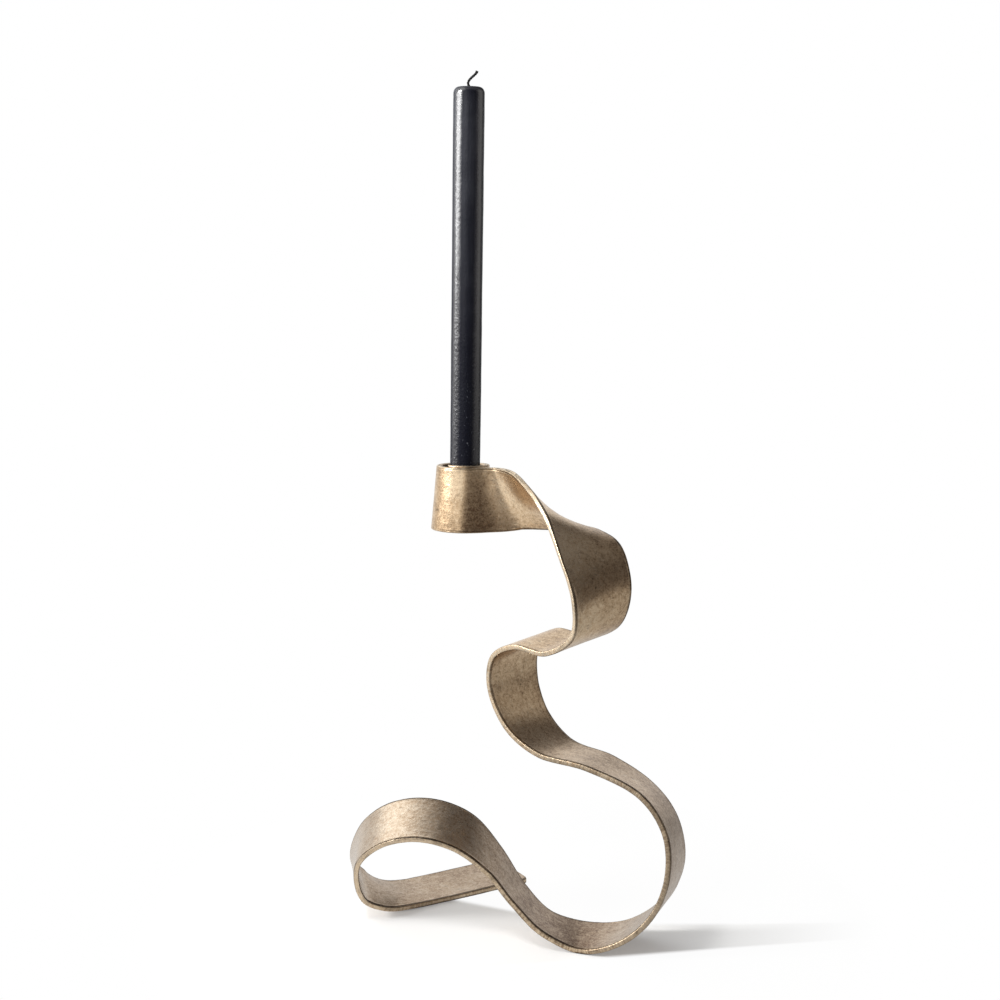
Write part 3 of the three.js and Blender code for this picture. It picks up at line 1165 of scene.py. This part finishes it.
def room_world(stage):
    """White behind the object and in the picture, with a pale wall on the left and a dim room elsewhere."""
    world = bpy.data.worlds.new("room")
    world.use_nodes = True
    tree = world.node_tree
    tree.nodes.clear()
    way = node(tree, "TexCoord").outputs["Generated"]
    right, back, up = axes(tree, way)
    to_wall = towards(tree, way, WALL_WAY)
    tint = toned(tree, ranged(tree, to_wall, -1.0, 1.0), (
        (0.04, stage.room),
        (0.16, shade(stage.room, 0.55)),
        (0.40, shade(stage.room, 0.55)),
        (0.55, shade(stage.wall, 0.22)),
        (0.68, shade(stage.wall, 0.95)),
        (0.78, shade(stage.wall, 1.1)),
        (0.96, shade(stage.wall, 0.85)),
    ))
    screen = ranged(tree, towards(tree, way, SCREEN_WAY), 0.84, 0.97, smooth=True)
    tint = blended(tree, screen, tint, stage.screen)
    above = ranged(tree, up, 0.38, 0.90, smooth=True)
    off_wall = ranged(tree, to_wall, -0.1, 0.6, 1.0, 0.1, smooth=True)
    tint = blended(tree, times(tree, above, off_wall), tint, stage.ceiling)
    low = ranged(tree, up, -0.01, -0.12, smooth=True)
    in_front = ranged(tree, back, 0.05, -0.45, 0.0, 0.85)
    tint = blended(tree, times(tree, low, in_front), tint, stage.room)
    low_right = times(tree, ranged(tree, up, -0.06, -0.24, smooth=True), ranged(tree, right, 0.3, 0.7))
    tint = blended(tree, low_right, tint, stage.screen)
    behind = larger(
        tree, ranged(tree, back, 0.60, 0.94, smooth=True),
        ranged(tree, towards(tree, way, BACK_WAY), 0.58, 0.86, smooth=True),
    )
    high_right = times(tree, ranged(tree, up, 0.30, 0.52), ranged(tree, right, 0.10, 0.18))
    behind = times(tree, behind, ranged(tree, high_right, 0.0, 1.0, 1.0, 0.0))
    path = node(tree, "LightPath").outputs
    glints = larger(tree, path["Is Glossy Ray"], path["Is Transmission Ray"])
    white = larger(tree, path["Is Camera Ray"], times(tree, glints, behind))
    tint = blended(tree, white, tint, (1.0, 1.0, 1.0))
    level = ranged(tree, white, 0.0, 1.0, stage.room_level, 1.0)
    light = node(tree, "Background", {"Color": tint, "Strength": level})
    node(tree, "OutputWorld", {"Surface": light.outputs["Background"]})
    return world


# The lamps: where each stands, what it faces, and its width and height, in metres.
LAMPS = {
    "key_left": ((-1.92, -0.62, 1.25), (0, 0, 0.2), 0.4, 0.4),
    "window_left": ((-1.896, -0.455, 0.74), (0, 0, 0.74), 1.4, 0.4),
    "pane_left": ((-1.95, 0.0, 0.5), (0, 0, 0.5), 0.6, 0.16),
    "back_left": ((-0.9, 1.3, 1.2), (0, 0, 0.2), 1.6, 1.0),
    "top": ((-0.5, -0.55, 1.5), (0, 0, 0.2), 0.3, 0.3),
}
# The table top is this far below the object, so that the two don't share a plane.
TABLE_GAP = 0.1 * MM
TABLE_CELLS = 8
# Width of the camera's sensor, in millimetres.
SENSOR_WIDTH = 36.0


def softbox(name, watts):
    """A soft lamp that the camera doesn't see."""
    place, target, width, height = LAMPS[name]
    light = bpy.data.lights.new(name, "AREA")
    light.shape = "RECTANGLE"
    light.size = width
    light.size_y = height
    light.energy = watts
    box = bpy.data.objects.new(name, light)
    box.location = place
    box.rotation_euler = (Vector(target) - Vector(place)).to_track_quat("-Z", "Y").to_euler()
    box.visible_camera = False
    bpy.context.scene.collection.objects.link(box)
    return box


def table_top(stage):
    """The table top, flat and wider than the picture."""
    mesh = bmesh.new()
    bmesh.ops.create_grid(mesh, x_segments=TABLE_CELLS, y_segments=TABLE_CELLS, size=1.0)
    for vertex in mesh.verts:
        vertex.co.x *= stage.table_side
        share = (1 + vertex.co.y) / 2
        vertex.co.y = share * (stage.table_back + stage.table_front) - stage.table_front
    data = bpy.data.meshes.new("table_top")
    mesh.to_mesh(data)
    mesh.free()
    data.materials.append(floor_material(stage))
    table = bpy.data.objects.new("table_top", data)
    table.location.z = -TABLE_GAP
    return table


def picture_camera(stage):
    """The camera, level from side to side and tilted down."""
    data = bpy.data.cameras.new("camera")
    data.sensor_width = SENSOR_WIDTH
    data.lens = stage.lens
    camera = bpy.data.objects.new("camera", data)
    foot = candle_foot()
    camera.location = (foot.x + stage.camera_right, foot.y - stage.camera_distance, stage.camera_height)
    camera.rotation_euler = (math.pi / 2 - stage.camera_tilt, 0, 0)
    return camera


class CANDLESTICK_OT_stage(Operator):
    """Set the table top, the light and the camera"""

    bl_idname = "candlestick.stage"
    bl_label = "Stage"
    bl_options = {"REGISTER", "UNDO"}

    def execute(self, context):
        scene = context.scene
        stage = scene.candlestick.stage
        floor = table_top(stage)
        scene.collection.objects.link(floor)
        scene.world = room_world(stage)
        softbox("key_left", stage.key_power)
        softbox("window_left", stage.window_power)
        softbox("pane_left", stage.pane_power)
        softbox("back_left", stage.back_power).data.color = stage.back_tint
        softbox("top", stage.top_power).visible_glossy = False
        camera = picture_camera(stage)
        scene.collection.objects.link(camera)
        scene.camera = camera
        scene.view_settings.view_transform = "Standard"
        return {"FINISHED"}


class CANDLESTICK_PT_pieces(Panel):
    """Lists what the candlestick is made of"""

    bl_idname = "CANDLESTICK_PT_pieces"
    bl_label = "Ribbon Candlestick"
    bl_space_type = "VIEW_3D"
    bl_region_type = "UI"
    bl_category = "Candlestick"

    def draw(self, context):
        settings = context.scene.candlestick
        rows = (
            (settings.ribbon, (CANDLESTICK_OT_ribbon,)),
            (settings.socket, (CANDLESTICK_OT_socket,)),
            (settings.candle, (CANDLESTICK_OT_candle, CANDLESTICK_OT_wick)),
            (settings.stage, (CANDLESTICK_OT_stage,)),
        )
        for group, operators in rows:
            box = self.layout.box()
            for operator in operators:
                box.operator(operator.bl_idname, text=operator.bl_label)
            for name in group.__annotations__:
                box.prop(group, name)


CLASSES = (
    RibbonSettings,
    SocketSettings,
    CandleSettings,
    StageSettings,
    CandlestickSettings,
    CANDLESTICK_OT_ribbon,
    CANDLESTICK_OT_socket,
    CANDLESTICK_OT_candle,
    CANDLESTICK_OT_wick,
    CANDLESTICK_OT_stage,
    CANDLESTICK_PT_pieces,
)


def register():
    for kind in CLASSES:
        bpy.utils.register_class(kind)
    bpy.types.Scene.candlestick = PointerProperty(type=CandlestickSettings)


def unregister():
    del bpy.types.Scene.candlestick
    for kind in reversed(CLASSES):
        bpy.utils.unregister_class(kind)


def main():
    register()
    bpy.ops.candlestick.stage()
    bpy.ops.candlestick.ribbon()
    bpy.ops.candlestick.socket()
    bpy.ops.candlestick.candle()
    bpy.ops.candlestick.wick()


if __name__ == "__main__":
    main()
